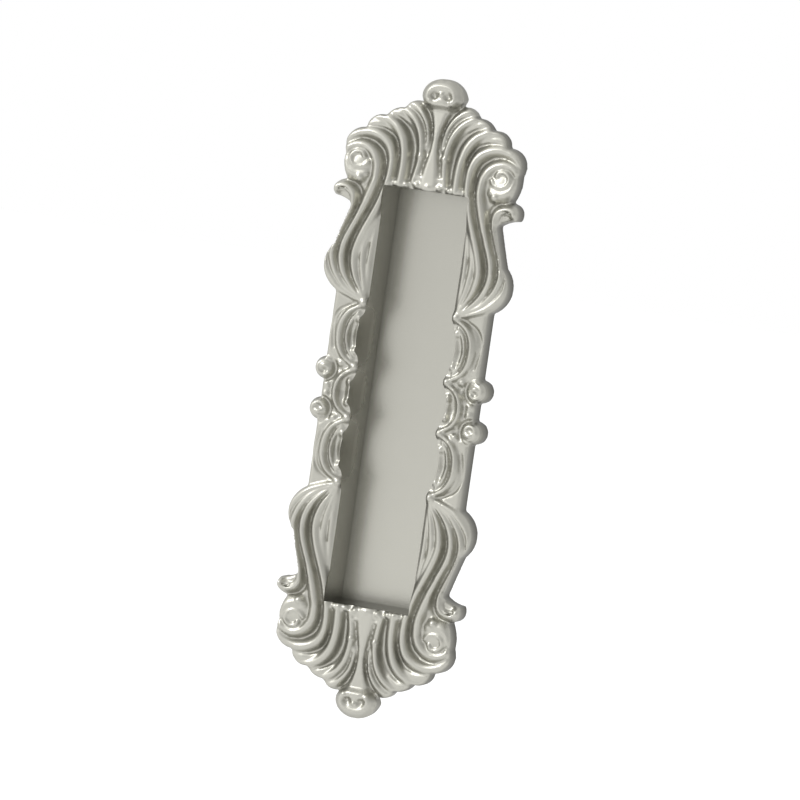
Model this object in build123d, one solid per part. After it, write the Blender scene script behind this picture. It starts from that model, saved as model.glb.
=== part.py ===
from build123d import *
from math import cos, pi, sin
import os

# A cast flush pull: a frame of scrolls round a finger cup that is let into the door.
# It is drawn lying on its back, with x across, y along its length and z out of the door.
# One quarter is modelled and mirrored, and the casting is stood up at the end.
# All sizes are in millimetres.

# Finger cup
CUP_LENGTH = 116.0  # opening, along the pull
CUP_WIDTH = 24.8  # opening, across the pull
CUP_SINK = 7.6  # from the door's face to the face of the floor
CUP_WALL = 1.6
CUP_FLOOR = 1.6
CUP_DRAFT = 1.5  # slope of the walls, in degrees

# Frame
FRAME_SIDE = 9.8  # from the cup's edge to the straight side of the plate
END_REACH = 31.0  # from the cup's end to the tip
FAN_REACH = 25.0  # from the cup's end to where the slope of the end runs out
RIM_HEIGHT = 6.4  # ground beside the cup, above the door
SIDE_FALL = 0.5  # from there down to the outer edge of the side
END_FALL = 2.6  # from there down to the foot of the tip

# Knots that the side scrolls run to, measured from the middle of the pull
OUTER_KNOT = 24.7
INNER_KNOT = 7.0
KNOT_RADIUS = 1.9
KNOT_INSET = 1.2  # its middle, out from the cup's edge

# Ridges
ROOT_SINK = 1.3  # how far a ridge's root lies under the ground
STUD_SIDES = 8
STUD_TOP = 0.45  # share of its width that a stud keeps at the top
STATION_PITCH = 3.6  # about the distance between the sections of a long ridge
CURL_PITCH = 1.2  # the same for a tight curl, whose flanks are straight from section to section
FEWEST_STATIONS = 5

STRAND_WIDTH = 5.8
STRAND_RELIEF = 2.2
FAN_WIDTH = 5.2
FAN_RELIEF = 2.4
SPINDLE_WIDTH = 2.1
SPINDLE_RELIEF = 2.0
LEAF_WIDTH = 3.7
LEAF_RELIEF = 1.9
TAPER = 0.45  # share of its width and height that a ridge keeps at a fine end

# Corner volute
VOLUTE_REACH = 4.3  # its eye, past the cup's end
VOLUTE_ACROSS = 7.9  # its eye, out from the cup's edge
VOLUTE_RADIUS = 4.6
VOLUTE_EYE = 1.7
VOLUTE_TURNS = 1.0
VOLUTE_WIDTH = 3.4
VOLUTE_START = 15.0  # where the curl begins, in degrees from across
VOLUTE_POINTS = 14  # points of its course

# Tip
TIP_HALF_WIDTH = 6.2
TIP_HALF_DEPTH = 4.8
TIP_HEIGHT = 5.6  # its flat front, above the door
TIP_WIDTH = 2.9
TIP_RELIEF = 2.3
TIP_BEAD = 1.4
TIP_EYE = 1.2  # radius of the eyes that its curls end in

# Side beads
BEAD_RADIUS = 3.2
BEAD_ALONG = 5.7  # from the middle of the pull
BEAD_HEIGHT = 4.4  # height of the bead's centre above the door
BEAD_CUTS = (42,)  # where the cuts meet, in degrees up from the bead's widest place

RIM_X = CUP_WIDTH / 2
RIM_Y = CUP_LENGTH / 2
SIDE_X = RIM_X + FRAME_SIDE
TIP_Y = RIM_Y + END_REACH
TOP_Z = RIM_HEIGHT + STRAND_RELIEF + FAN_RELIEF

# Courses of the ridges. On the side a point is a share of the frame's width out from the cup and a
# share of the run between two stops. On the end it is a share of the plate's half width out from
# the middle and a share of the end's reach past the cup.
INNER_STRAND_END = [(1.01, 0.44), (0.81, 0.475), (0.6, 0.395), (0.5, 0.21), (0.515, 0.065)]
INNER_STRAND_SIDE = [(0.05, 0.91), (0.44, 0.655), (0.67, 0.415), (0.5, 0.205), (0.14, 0.07)]
OUTER_STRAND_END = [(1.11, 0.29), (1.0, 0.33), (0.86, 0.34), (0.69, 0.25), (0.63, 0.08)]
OUTER_STRAND_SIDE = [(0.285, 0.925), (0.69, 0.715), (0.97, 0.46), (0.795, 0.245), (0.215, 0.055)]
HOOK_STRAND = [(1.17, 0.49), (1.08, 0.61), (0.92, 0.745), (0.87, 0.83), (0.99, 0.905), (1.3, 0.91)]
RIM_STRAND = [(0.0, 0.78), (0.2, 0.6), (0.38, 0.43), (0.33, 0.26), (0.12, 0.11)]
BULGE_LEAF = [(1.25, 0.45), (1.38, 0.34), (1.22, 0.19), (0.75, 0.08), (0.22, 0.025)]

FAN_SPINDLE = [(0.16, 0.03), (0.115, 0.16), (0.068, 0.37), (0.083, 0.565), (0.2, 0.73)]
FAN_FIRST = [(0.165, 0.25), (0.165, 0.41), (0.235, 0.575), (0.42, 0.7)]
FAN_SECOND = [(0.225, 0.12), (0.25, 0.38), (0.345, 0.56), (0.56, 0.645)]
FAN_THIRD = [(0.37, 0.01), (0.355, 0.225), (0.42, 0.45), (0.565, 0.56), (0.77, 0.58)]

C_INNER = [(0.16, 0.93), (0.42, 0.72), (0.47, 0.5), (0.41, 0.28), (0.16, 0.08)]
C_MIDDLE = [(0.22, 0.97), (0.59, 0.81), (0.71, 0.53), (0.6, 0.25), (0.21, 0.04)]
C_OUTER = [(0.47, 0.96), (0.79, 0.8), (0.91, 0.51), (0.84, 0.25), (0.6, 0.1)]
ALMOND = [(0.14, 0.97), (0.42, 0.62), (0.57, 0.0), (0.42, -0.62), (0.14, -0.97)]

# Course of half the tip's crest, from its top to the curl, as shares of the tip's half width and
# half depth from its centre
TIP_TOP = (0.0, 0.68)
TIP_CURL = [(0.56, 0.51), (0.79, 0.02), (0.63, -0.38), (0.35, -0.43)]
TIP_EYE_AT = (0.42, -0.2)

# Outline: each pair is the middle and the end of an arc
OUTLINE_TIP = (0.25, 0.775)
OUTLINE_END = [
    [(0.38, 0.77), (0.47, 0.7)],
    [(0.6, 0.68), (0.69, 0.61)],
    [(0.85, 0.585), (0.92, 0.48)],
    [(1.125, 0.395), (1.125, 0.25)],
    [(1.12, 0.13), (1.05, 0.0)],
]
OUTLINE_SIDE = [
    [(1.42, 0.955), (1.4, 0.86)],
    [(1.1, 0.84), (0.87, 0.8)],
    [(1.01, 0.655), (1.21, 0.46)],
    [(1.45, 0.31), (1.0, 0.08)],
]


def on_side(shares, low, high):
    """Places points of the side between two stops along the pull."""
    return [(RIM_X + a * FRAME_SIDE, low + b * (high - low)) for a, b in shares]


def on_end(shares):
    """Places points of the end past the cup."""
    return [(a * SIDE_X, RIM_Y + b * END_REACH) for a, b in shares]


def ground(x, y):
    """Height of the frame's slope, which falls from the cup to the sides and the ends."""
    out = min(max((abs(x) - RIM_X) / FRAME_SIDE, 0), 1)
    past = min(max((abs(y) - RIM_Y) / FAN_REACH, 0), 1)
    return RIM_HEIGHT - max(out * SIDE_FALL, past * END_FALL)


def blend(values, s):
    """Smooth value at share s of a course, from its start, middle and end values."""
    start, middle, end = values
    return start * (1 - s) * (1 - 2 * s) + middle * 4 * s * (1 - s) + end * s * (2 * s - 1)


def ridge_section(place, heading, width, crest, root):
    """Cross section of a ridge: two flanks that meet in a crest, upright across the course."""
    across = Vector(-heading.Y, heading.X, 0) * width / 2
    foot = Vector(place.X, place.Y, root)
    return Wire.make_polygon([foot + across, Vector(place.X, place.Y, crest), foot - across], close=True)


def ridge(points, widths, reliefs, pitch=STATION_PITCH, ruled=False, lift=0):
    """Ridge that follows a course over the ground, with its width and relief along the way.

    Its flanks are smooth, or straight from section to section where it is ruled. It can stand on a
    step that is lifted above the ground.
    """
    course = Spline(*[(x, y, 0) for x, y in points])
    steps = max(FEWEST_STATIONS, round(course.length / pitch))
    sections = []
    for i in range(steps + 1):
        s = i / steps
        place = course @ s
        level = ground(place.X, place.Y) + lift
        crest = level + blend(reliefs, s)
        sections.append(ridge_section(place, course % s, blend(widths, s), crest, level - ROOT_SINK))
    return Solid.make_loft(sections, ruled)


def stud(x, y, radius, foot, crown):
    """Small eight-sided stud with sloping sides."""
    low = Pos(x, y, foot) * RegularPolygon(radius, STUD_SIDES)
    high = Pos(x, y, crown) * RegularPolygon(radius * STUD_TOP, STUD_SIDES)
    return loft([low.face(), high.face()], ruled=True)


def swelling(size):
    """Start, middle and end values of a ridge that is fine at both ends."""
    return (size * TAPER, size, size * TAPER)


def running(size):
    """Start, middle and end values of a ridge that starts full and ends fine."""
    return (size, size, size * TAPER)


def side_scroll():
    """The long strands from the corner to the outer knot, with their leaves."""
    inner = on_end(INNER_STRAND_END) + on_side(INNER_STRAND_SIDE, OUTER_KNOT, RIM_Y)
    outer = on_end(OUTER_STRAND_END) + on_side(OUTER_STRAND_SIDE, OUTER_KNOT, RIM_Y)
    strands = [ridge(course, swelling(STRAND_WIDTH), swelling(STRAND_RELIEF)) for course in (inner, outer)]
    leaves = [
        ridge(on_side(course, OUTER_KNOT, RIM_Y), swelling(LEAF_WIDTH), swelling(LEAF_RELIEF))
        for course in (HOOK_STRAND, RIM_STRAND, BULGE_LEAF)
    ]
    return strands + leaves


def c_scroll():
    """The short scroll between the two knots."""
    return [
        ridge(on_side(course, INNER_KNOT, OUTER_KNOT), swelling(LEAF_WIDTH), swelling(LEAF_RELIEF))
        for course in (C_INNER, C_MIDDLE, C_OUTER)
    ]


def almond():
    """The ring round the hollow at the middle of the side."""
    course = on_side(ALMOND, 0, INNER_KNOT)
    return [ridge(course, swelling(LEAF_WIDTH), swelling(LEAF_RELIEF))]


def end_fan():
    """The ridges that rise from the cup's end and sweep outwards."""
    border = ridge(on_end(FAN_SPINDLE), (SPINDLE_WIDTH,) * 3, (SPINDLE_RELIEF,) * 3)
    first = ridge(on_end(FAN_FIRST), swelling(FAN_WIDTH), swelling(FAN_RELIEF))
    second = ridge(on_end(FAN_SECOND), swelling(FAN_WIDTH), swelling(FAN_RELIEF))
    third = ridge(on_end(FAN_THIRD), running(FAN_WIDTH), running(FAN_RELIEF))
    return [border, first, second, third]


def corner_volute():
    """The curl that the outer strand ends in, and its eye."""
    eye_x = RIM_X + VOLUTE_ACROSS
    eye_y = RIM_Y + VOLUTE_REACH
    sweep_angle = VOLUTE_TURNS * 2 * pi
    points = []
    for i in range(VOLUTE_POINTS + 1):
        share = i / VOLUTE_POINTS
        angle = VOLUTE_START * pi / 180 - sweep_angle * share
        radius = VOLUTE_RADIUS + (VOLUTE_EYE - VOLUTE_RADIUS) * share
        points.append((eye_x + radius * cos(angle), eye_y + radius * sin(angle)))
    curl = ridge(points, running(VOLUTE_WIDTH), running(STRAND_RELIEF), CURL_PITCH, ruled=True)
    level = ground(eye_x, eye_y)
    eye = stud(eye_x, eye_y, VOLUTE_EYE, level - ROOT_SINK, level + STRAND_RELIEF)
    return [curl, eye]


def knots():
    """Round knots on the cup's edge where the scrolls meet."""
    x = RIM_X + KNOT_INSET
    foot = ground(x, 0) - ROOT_SINK
    crown = ground(x, 0) + KNOT_RADIUS
    return [stud(x, y, KNOT_RADIUS, foot, crown) for y in (INNER_KNOT, OUTER_KNOT)]


def outline():
    """A quarter of the plate's outline, to the middle lines."""
    arcs = [[on_end(pair)[0], on_end(pair)[1]] for pair in OUTLINE_END]
    arcs += [[*on_side(pair, OUTER_KNOT, RIM_Y)] for pair in OUTLINE_SIDE]
    start = on_end([OUTLINE_TIP])[0]
    edges = [Line((0, 0), (0, start[1])), Line((0, start[1]), start)]
    at = start
    for middle, end in arcs:
        edges.append(ThreePointArc(at, middle, end))
        at = end
    edges.append(Line(at, (SIDE_X, 0)))
    edges.append(Line((SIDE_X, 0), (0, 0)))
    return make_face(edges)


def slope():
    """The frame's ground: a slab whose top falls from the cup's edge to the sides and the ends."""
    top = RIM_HEIGHT
    side = RIM_HEIGHT - SIDE_FALL
    end = RIM_HEIGHT - END_FALL
    far_x = 2 * SIDE_X
    foot_y = RIM_Y + FAN_REACH
    across = [(-RIM_X, 0), (far_x, 0), (far_x, side), (SIDE_X, side), (RIM_X, top), (-RIM_X, top)]
    along = [(-RIM_Y, 0), (TIP_Y, 0), (TIP_Y, end), (foot_y, end), (RIM_Y, top), (-RIM_Y, top)]
    side_face = make_face(Polyline(*[(x, -RIM_Y, z) for x, z in across], close=True))
    end_face = make_face(Polyline(*[(-RIM_X, y, z) for y, z in along], close=True))
    over_side = extrude(side_face, RIM_Y + TIP_Y, dir=(0, 1, 0))
    over_end = extrude(end_face, RIM_X + far_x, dir=(1, 0, 0))
    return over_side & over_end


def tip():
    """The crest at the end of the pull, which curls over on both sides of a bead and ends in eyes."""
    centre_y = TIP_Y - TIP_HALF_DEPTH
    course = [(-a, b) for a, b in reversed(TIP_CURL)] + [TIP_TOP] + TIP_CURL
    points = [(a * TIP_HALF_WIDTH, centre_y + b * TIP_HALF_DEPTH) for a, b in course]
    left, right = (-TIP_HALF_WIDTH, centre_y), (TIP_HALF_WIDTH, centre_y)
    over = ThreePointArc(left, (0, TIP_Y), right)
    under = ThreePointArc(right, (0, centre_y - TIP_HALF_DEPTH), left)
    boss = extrude(make_face([over, under]), TIP_HEIGHT)
    step = TIP_HEIGHT - ground(0, centre_y)
    crest = ridge(points, swelling(TIP_WIDTH), swelling(TIP_RELIEF), CURL_PITCH, ruled=True, lift=step)
    foot = TIP_HEIGHT - ROOT_SINK
    eye_x = TIP_EYE_AT[0] * TIP_HALF_WIDTH
    eye_y = centre_y + TIP_EYE_AT[1] * TIP_HALF_DEPTH
    ball = stud(0, centre_y, TIP_BEAD, foot, TIP_HEIGHT + TIP_BEAD)
    eyes = [stud(side * eye_x, eye_y, TIP_EYE, foot, TIP_HEIGHT + TIP_RELIEF) for side in (-1, 1)]
    return [boss, crest, ball] + eyes


def side_bead():
    """The bead that stands out of the plate's side, turned with a few straight cuts."""
    profile = [(0, 0), (BEAD_RADIUS, 0), (BEAD_RADIUS, BEAD_HEIGHT)]
    for angle in BEAD_CUTS:
        turn = angle * pi / 180
        profile.append((BEAD_RADIUS * cos(turn), BEAD_HEIGHT + BEAD_RADIUS * sin(turn)))
    profile.append((0, BEAD_HEIGHT + BEAD_RADIUS))
    half = make_face(Polyline(*[(across, 0, up) for across, up in profile], close=True))
    return Pos(SIDE_X, BEAD_ALONG, 0) * revolve(half, Axis.Z)


def quarter():
    """A quarter of the frame, without the cup."""
    body = slope()
    for piece in side_scroll() + c_scroll() + almond() + end_fan() + corner_volute() + knots():
        body = body + piece
    body = body & extrude(outline(), TOP_Z)
    body = body + side_bead()
    corner = Pos(SIDE_X, TIP_Y, 0) * Box(2 * SIDE_X, 2 * TIP_Y, 4 * TOP_Z)
    return body & corner


def flush_pull():
    """The whole casting, stood up with its back on the door."""
    part = quarter()
    half = part + mirror(part, about=Plane.YZ)
    for piece in tip():
        half = half + piece
    frame = half + mirror(half, about=Plane.XZ)
    depth = CUP_SINK + CUP_FLOOR
    outer = Rectangle(CUP_WIDTH + 2 * CUP_WALL, CUP_LENGTH + 2 * CUP_WALL)
    inner = Rectangle(CUP_WIDTH, CUP_LENGTH)
    frame = frame + extrude(outer, -depth, taper=CUP_DRAFT)
    frame = frame - extrude(inner, -CUP_SINK, taper=CUP_DRAFT) - extrude(inner, TOP_Z)
    return Rot(90, 0, 0) * frame


os.makedirs("parts", exist_ok=True)
export_step(flush_pull(), "parts/flush_pull.step")
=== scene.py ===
import logging
import math
from dataclasses import dataclass, field
from enum import Enum

import bmesh
import bpy
import numpy as np
from mathutils import Matrix, Vector
from mathutils.kdtree import KDTree


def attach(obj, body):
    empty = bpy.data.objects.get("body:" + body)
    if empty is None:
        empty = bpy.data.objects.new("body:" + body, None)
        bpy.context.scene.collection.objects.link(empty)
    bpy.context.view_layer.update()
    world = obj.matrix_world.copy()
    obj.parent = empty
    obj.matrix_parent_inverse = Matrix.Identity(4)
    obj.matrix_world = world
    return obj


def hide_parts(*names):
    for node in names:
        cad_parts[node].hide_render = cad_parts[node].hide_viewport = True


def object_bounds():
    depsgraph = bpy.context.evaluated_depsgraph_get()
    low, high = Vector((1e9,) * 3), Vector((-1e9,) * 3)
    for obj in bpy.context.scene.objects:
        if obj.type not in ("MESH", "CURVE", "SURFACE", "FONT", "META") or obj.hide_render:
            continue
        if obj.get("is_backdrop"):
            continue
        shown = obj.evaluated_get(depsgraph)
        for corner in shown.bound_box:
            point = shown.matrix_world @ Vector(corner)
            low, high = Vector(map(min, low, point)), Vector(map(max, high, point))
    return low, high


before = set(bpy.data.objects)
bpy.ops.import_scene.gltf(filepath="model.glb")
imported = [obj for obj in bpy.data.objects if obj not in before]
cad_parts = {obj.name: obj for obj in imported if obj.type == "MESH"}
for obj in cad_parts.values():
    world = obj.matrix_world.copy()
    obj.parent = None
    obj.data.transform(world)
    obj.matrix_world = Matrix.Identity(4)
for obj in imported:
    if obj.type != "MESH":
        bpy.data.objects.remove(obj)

log = logging.getLogger("flush_pull")

MM = 0.001
NODE = "flush_pull"
BODY = "root"
SLOT = "satin_nickel"
# Attribute that paints shade into the metal's colour, in grooves, in the cup and low on the outer sides.
PAINTED_SHADE = "painted_shade"
IN_CUP = "in_cup"
MERGE_GAP = 0.001 * MM
COURSE_STEPS = 24
BEAD_SOFTNESS = 1.5


class Ray(Enum):
    """Kinds of ray that see the studio's white instead of its real light."""

    CAMERA = "Is Camera Ray"
    GLOSSY = "Is Glossy Ray"
    TRANSMISSION = "Is Transmission Ray"


@dataclass(frozen=True)
class SatinNickel:
    """Satin nickel plate over the casting, a warm grey with a soft sheen.

    Attributes:
        color: Linear colour of the plate.
        painted_shade_color: Linear colour of the painted shade, as deep in the cup and low on the sides.
        edge_tint: Share of its shine that the metal keeps at a low angle.
        roughness: Spread of the reflections.
        cup_roughness: The same in the cup, which is polished smoother.
        grain_scale: Grains of the satin per metre.
        grain_depth: Height of the satin's grain, in metres.
    """

    color: tuple[float, float, float] = (0.44, 0.434, 0.39)
    painted_shade_color: tuple[float, float, float] = (0.08, 0.077, 0.065)
    edge_tint: tuple[float, float, float] = (0.7, 0.7, 0.7)
    roughness: float = 0.41
    cup_roughness: float = 0.27
    grain_scale: float = 2600.0
    grain_depth: float = 0.00001

    def build(self) -> bpy.types.Material:
        """Makes the material.

        Returns:
            The satin nickel material.
        """
        material = bpy.data.materials.new(SLOT)
        material.use_nodes = True
        tree = material.node_tree
        shader = tree.nodes["Principled BSDF"]
        shader.inputs["Metallic"].default_value = 1.0
        in_cup = tree.nodes.new("ShaderNodeAttribute")
        in_cup.attribute_name = IN_CUP
        polish = tree.nodes.new("ShaderNodeMapRange")
        polish.inputs["To Min"].default_value = self.roughness
        polish.inputs["To Max"].default_value = self.cup_roughness
        tree.links.new(in_cup.outputs["Fac"], polish.inputs["Value"])
        tree.links.new(polish.outputs["Result"], shader.inputs["Roughness"])
        shader.inputs["Specular Tint"].default_value = (*self.edge_tint, 1.0)
        # Painted shade: this attribute darkens the base colour towards the shade colour.
        painted_shade = tree.nodes.new("ShaderNodeAttribute")
        painted_shade.attribute_name = PAINTED_SHADE
        tone = tree.nodes.new("ShaderNodeMix")
        tone.data_type = "RGBA"
        tone.inputs["A"].default_value = (*self.color, 1.0)
        tone.inputs["B"].default_value = (*self.painted_shade_color, 1.0)
        tree.links.new(painted_shade.outputs["Fac"], tone.inputs["Factor"])
        tree.links.new(tone.outputs["Result"], shader.inputs["Base Color"])
        place = tree.nodes.new("ShaderNodeTexCoord")
        grain = tree.nodes.new("ShaderNodeTexNoise")
        grain.inputs["Scale"].default_value = self.grain_scale
        bump = tree.nodes.new("ShaderNodeBump")
        bump.inputs["Distance"].default_value = self.grain_depth
        tree.links.new(place.outputs["Object"], grain.inputs["Vector"])
        tree.links.new(grain.outputs["Fac"], bump.inputs["Height"])
        tree.links.new(bump.outputs["Normal"], shader.inputs["Normal"])
        return material


def seen_directly(tree: bpy.types.NodeTree) -> bpy.types.NodeSocket:
    """Adds nodes that tell a camera, mirror or glass ray from the light that falls on things.

    Args:
        tree: Node tree to add to.

    Returns:
        Socket that is 1 for such a ray and 0 for any other.
    """
    path = tree.nodes.new("ShaderNodeLightPath")
    socket = path.outputs[Ray.CAMERA.value]
    for ray in (Ray.GLOSSY, Ray.TRANSMISSION):
        either = tree.nodes.new("ShaderNodeMath")
        either.operation = "MAXIMUM"
        tree.links.new(socket, either.inputs[0])
        tree.links.new(path.outputs[ray.value], either.inputs[1])
        socket = either.outputs["Value"]
    return socket


@dataclass(frozen=True)
class StudioWhite:
    """Matt white of the floor, lifted to plain white where it is looked at.

    Attributes:
        color: Linear colour of the floor.
        roughness: Spread of its shine, which is that of matt paper.
        lift: Glow that is added for the eye alone, so that the shadow stays.
    """

    color: tuple[float, float, float] = (0.8, 0.8, 0.8)
    roughness: float = 0.9
    lift: float = 0.17

    def build(self) -> bpy.types.Material:
        """Makes the material.

        Returns:
            The floor's material.
        """
        material = bpy.data.materials.new("studio_white")
        material.use_nodes = True
        tree = material.node_tree
        matt = tree.nodes["Principled BSDF"]
        matt.inputs["Base Color"].default_value = (*self.color, 1.0)
        matt.inputs["Roughness"].default_value = self.roughness
        matt.inputs["Specular IOR Level"].default_value = 0.0
        matt.inputs["Emission Color"].default_value = (1.0, 1.0, 1.0, 1.0)
        glow = tree.nodes.new("ShaderNodeMath")
        glow.operation = "MULTIPLY"
        glow.inputs[1].default_value = self.lift
        tree.links.new(seen_directly(tree), glow.inputs[0])
        tree.links.new(glow.outputs["Value"], matt.inputs["Emission Strength"])
        return material


@dataclass(frozen=True)
class Fold:
    """A rounded fold of the carving that follows a course over the frame.

    The course is drawn for one quarter of the pull, in millimetres across and along it from its
    middle. Width and height are given at even steps from its start to its end.

    Attributes:
        course: Points that the crest runs through.
        width: Width from groove to groove.
        height: Height of the crest above the ground.
        flat: Share of the width that is flat on top.
    """

    course: tuple[tuple[float, float], ...]
    width: tuple[float, ...]
    height: tuple[float, ...]
    flat: float = 0.0

    def line(self) -> tuple[np.ndarray, np.ndarray]:
        """Follows the course closely.

        Returns:
            Points along the course, and the share of the course at each.
        """
        points = np.array(self.course)
        before = np.vstack([2 * points[0] - points[1], points[:-1]])
        after = np.vstack([points[1:], 2 * points[-1] - points[-2]])
        pull = (after - before) / 2
        runs = []
        for here, there, leave, arrive in zip(points[:-1], points[1:], pull[:-1], pull[1:]):
            t = np.linspace(0.0, 1.0, COURSE_STEPS, endpoint=False)[:, None]
            runs.append(
                here * (2 * t**3 - 3 * t**2 + 1)
                + leave * (t**3 - 2 * t**2 + t)
                + there * (3 * t**2 - 2 * t**3)
                + arrive * (t**3 - t**2)
            )
        line = np.vstack(runs + [points[-1:]])
        steps = np.linalg.norm(np.diff(line, axis=0), axis=1)
        share = np.concatenate([[0.0], np.cumsum(steps)]) / steps.sum()
        return line, share

    def rise(self, places: np.ndarray) -> np.ndarray:
        """Measures how far the fold stands above the ground.

        Args:
            places: Points of the quarter, one in each row.

        Returns:
            Height of the fold at each point.
        """
        line, share = self.line()
        result = np.zeros(len(places))
        reach = max(self.width) / 2
        near = np.all((places > line.min(0) - reach) & (places < line.max(0) + reach), axis=1)
        if not near.any():
            return result
        gap = np.linalg.norm(places[near][:, None, :] - line[None, :, :], axis=2)
        nearest = gap.argmin(axis=1)
        s = share[nearest]
        across = gap.min(axis=1) / (along(self.width, s) / 2)
        slope = np.clip((across - self.flat) / (1.0 - self.flat), 0.0, 1.0)
        result[near] = along(self.height, s) * np.cos(slope * math.pi / 2)
        return result


@dataclass(frozen=True)
class Bead:
    """A round bead of the carving.

    Attributes:
        place: Its middle, in the quarter's millimetres.
        radius: Its radius.
        height: How far it stands above the ground.
    """

    place: tuple[float, float]
    radius: float
    height: float

    def rise(self, places: np.ndarray) -> np.ndarray:
        """Measures how far the bead stands above the ground.

        Args:
            places: Points of the quarter, one in each row.

        Returns:
            Height of the bead at each point.
        """
        across = np.linalg.norm(places - np.array(self.place), axis=1) / self.radius
        return self.height * np.clip(1.0 - across**2, 0.0, 1.0) ** BEAD_SOFTNESS


def along(values: tuple[float, ...], share: np.ndarray) -> np.ndarray:
    """Runs evenly through values that are given at even steps.

    Args:
        values: The values, from the start to the end.
        share: How far along, from 0 to 1.

    Returns:
        The value at each share.
    """
    return np.interp(share, np.linspace(0.0, 1.0, len(values)), values)


def roll(gap: np.ndarray, radius: float) -> np.ndarray:
    """Measures how far a rounded edge lies under the sharp one.

    Args:
        gap: Distance in from the edge.
        radius: Radius of the rounding.

    Returns:
        Depth at each distance.
    """
    inside = radius - np.clip(gap, 0.0, radius)
    return radius - np.sqrt(radius**2 - inside**2)


TONGUE = Fold(
    ((0.0, 60.0), (0.0, 66.0), (0.0, 73.0), (0.0, 81.2)),
    (6.4, 5.4, 4.0, 2.6, 2.2, 3.0, 4.8, 7.4),
    (1.7, 1.8, 1.8, 1.5),
    flat=0.45,
)

FAN = (
    Fold(
        (
            (4.6, 60.0), (4.0, 62.8), (3.6, 66.0), (3.7, 69.4),
            (4.6, 73.4), (6.6, 76.8), (9.4, 78.9), (12.0, 80.0),
        ),
        (2.6, 2.4, 2.6, 2.8, 3.2, 3.6),
        (1.6, 1.7, 2.2, 2.3, 2.1, 1.3),
    ),
    Fold(
        ((2.2, 69.6), (2.5, 73.0), (3.6, 76.6), (5.8, 79.6), (8.8, 81.4)),
        (1.4, 2.2, 2.8, 3.2),
        (1.0, 1.8, 1.9, 1.3),
    ),
    Fold(((8.6, 76.2), (11.6, 78.0), (15.0, 78.8)), (2.4, 3.6, 4.0), (0.5, 1.4, 1.2)),
    Fold(
        ((8.1, 58.8), (8.0, 64.0), (8.4, 68.0), (9.6, 71.8), (12.0, 74.8), (15.4, 76.4), (19.0, 76.6)),
        (3.4, 3.6, 4.0, 4.6),
        (2.5, 2.7, 2.6, 1.5),
    ),
    Fold(((12.0, 72.6), (14.6, 74.2), (18.0, 74.6), (22.0, 73.6)), (2.0, 3.6, 4.0), (0.6, 1.6, 1.2)),
)

VOLUTE = (
    Fold(
        ((15.0, 60.5), (15.4, 63.8), (17.2, 66.7), (20.2, 68.1), (23.0, 67.6), (25.0, 66.0)),
        (3.6, 3.8, 3.6, 3.0),
        (2.6, 2.8, 2.6, 2.2),
    ),
    Fold(
        (
            (17.9, 63.6), (18.9, 62.4), (20.8, 62.0), (22.5, 62.9),
            (22.9, 64.7), (21.6, 66.1), (19.8, 66.0), (19.2, 64.9),
        ),
        (2.2, 2.3, 2.1),
        (2.3, 2.7, 2.7),
    ),
    Fold(((18.6, 60.4), (21.4, 60.2), (23.6, 61.6), (24.4, 63.6)), (4.0, 4.4, 4.0), (2.0, 2.1, 1.9)),
)

STRANDS = (
    Fold(
        (
            (25.8, 68.6), (22.6, 71.0), (19.0, 71.9), (15.6, 71.2), (12.9, 69.2), (11.5, 66.2),
            (11.2, 63.0), (11.5, 59.5), (12.3, 56.0), (13.6, 51.8), (15.5, 46.8), (17.3, 41.6),
            (18.0, 37.2), (17.0, 32.4), (14.8, 28.2), (13.2, 25.8),
        ),
        (3.6, 4.0, 3.6, 3.4, 3.8, 3.4, 1.4),
        (1.7, 2.6, 2.7, 2.4, 2.4, 2.2, 1.6),
    ),
    Fold(
        (
            (15.0, 61.5), (15.1, 59.0), (15.8, 56.0), (17.2, 51.6), (19.2, 46.4),
            (21.1, 41.5), (21.6, 37.2), (20.5, 33.0), (17.6, 29.0), (13.8, 25.9),
        ),
        (3.6, 3.6, 3.6, 3.2, 1.4),
        (2.6, 2.6, 2.5, 2.2, 1.6),
    ),
    Fold(
        (
            (26.4, 55.5), (24.0, 56.1), (21.6, 55.4), (20.4, 53.6), (20.5, 51.0), (21.6, 47.4),
            (23.2, 43.4), (24.2, 39.6), (24.2, 36.4), (22.9, 32.8), (19.6, 28.8), (14.0, 25.8),
        ),
        (3.2, 2.8, 2.8, 2.8, 1.4),
        (2.5, 2.4, 2.2, 1.9, 1.6),
    ),
    Fold(
        ((26.2, 38.6), (26.3, 35.2), (24.9, 32.0), (21.6, 28.6), (17.2, 26.4), (13.9, 25.4)),
        (3.0, 3.0, 1.4),
        (1.2, 1.7, 1.6),
    ),
    Fold(
        (
            (13.0, 52.0), (13.9, 47.8), (14.9, 44.0), (15.7, 40.2),
            (15.6, 36.4), (14.8, 32.0), (13.8, 28.6), (13.3, 26.4),
        ),
        (1.4, 2.4, 2.8, 1.4),
        (0.6, 1.4, 1.8, 1.3),
    ),
    Fold(
        ((12.9, 48.0), (13.3, 44.4), (13.6, 40.4), (13.7, 36.4), (13.5, 32.0), (13.1, 28.2)),
        (0.9, 1.6, 1.9, 1.1),
        (0.4, 1.0, 1.2, 0.7),
    ),
)
STRAND_GROOVES = (
    Fold(
        (
            (16.6, 68.9), (14.4, 67.2), (13.2, 64.4), (13.0, 61.2), (13.4, 57.8), (14.5, 53.6),
            (16.2, 49.2), (18.2, 44.4), (19.6, 39.6), (19.6, 35.8), (18.2, 31.6), (15.6, 28.2),
        ),
        (1.2, 2.0, 1.9, 2.0, 1.2),
        (0.5, 1.2, 1.2, 1.2, 0.4),
    ),
    Fold(
        (
            (23.6, 57.9), (20.8, 57.3), (19.0, 55.4), (18.9, 52.4), (19.8, 48.8),
            (21.3, 44.8), (22.7, 40.6), (22.9, 36.6), (21.6, 32.4),
        ),
        (1.0, 2.0, 1.9, 2.0, 1.0),
        (0.6, 1.4, 1.2, 1.0, 0.3),
    ),
)
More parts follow.
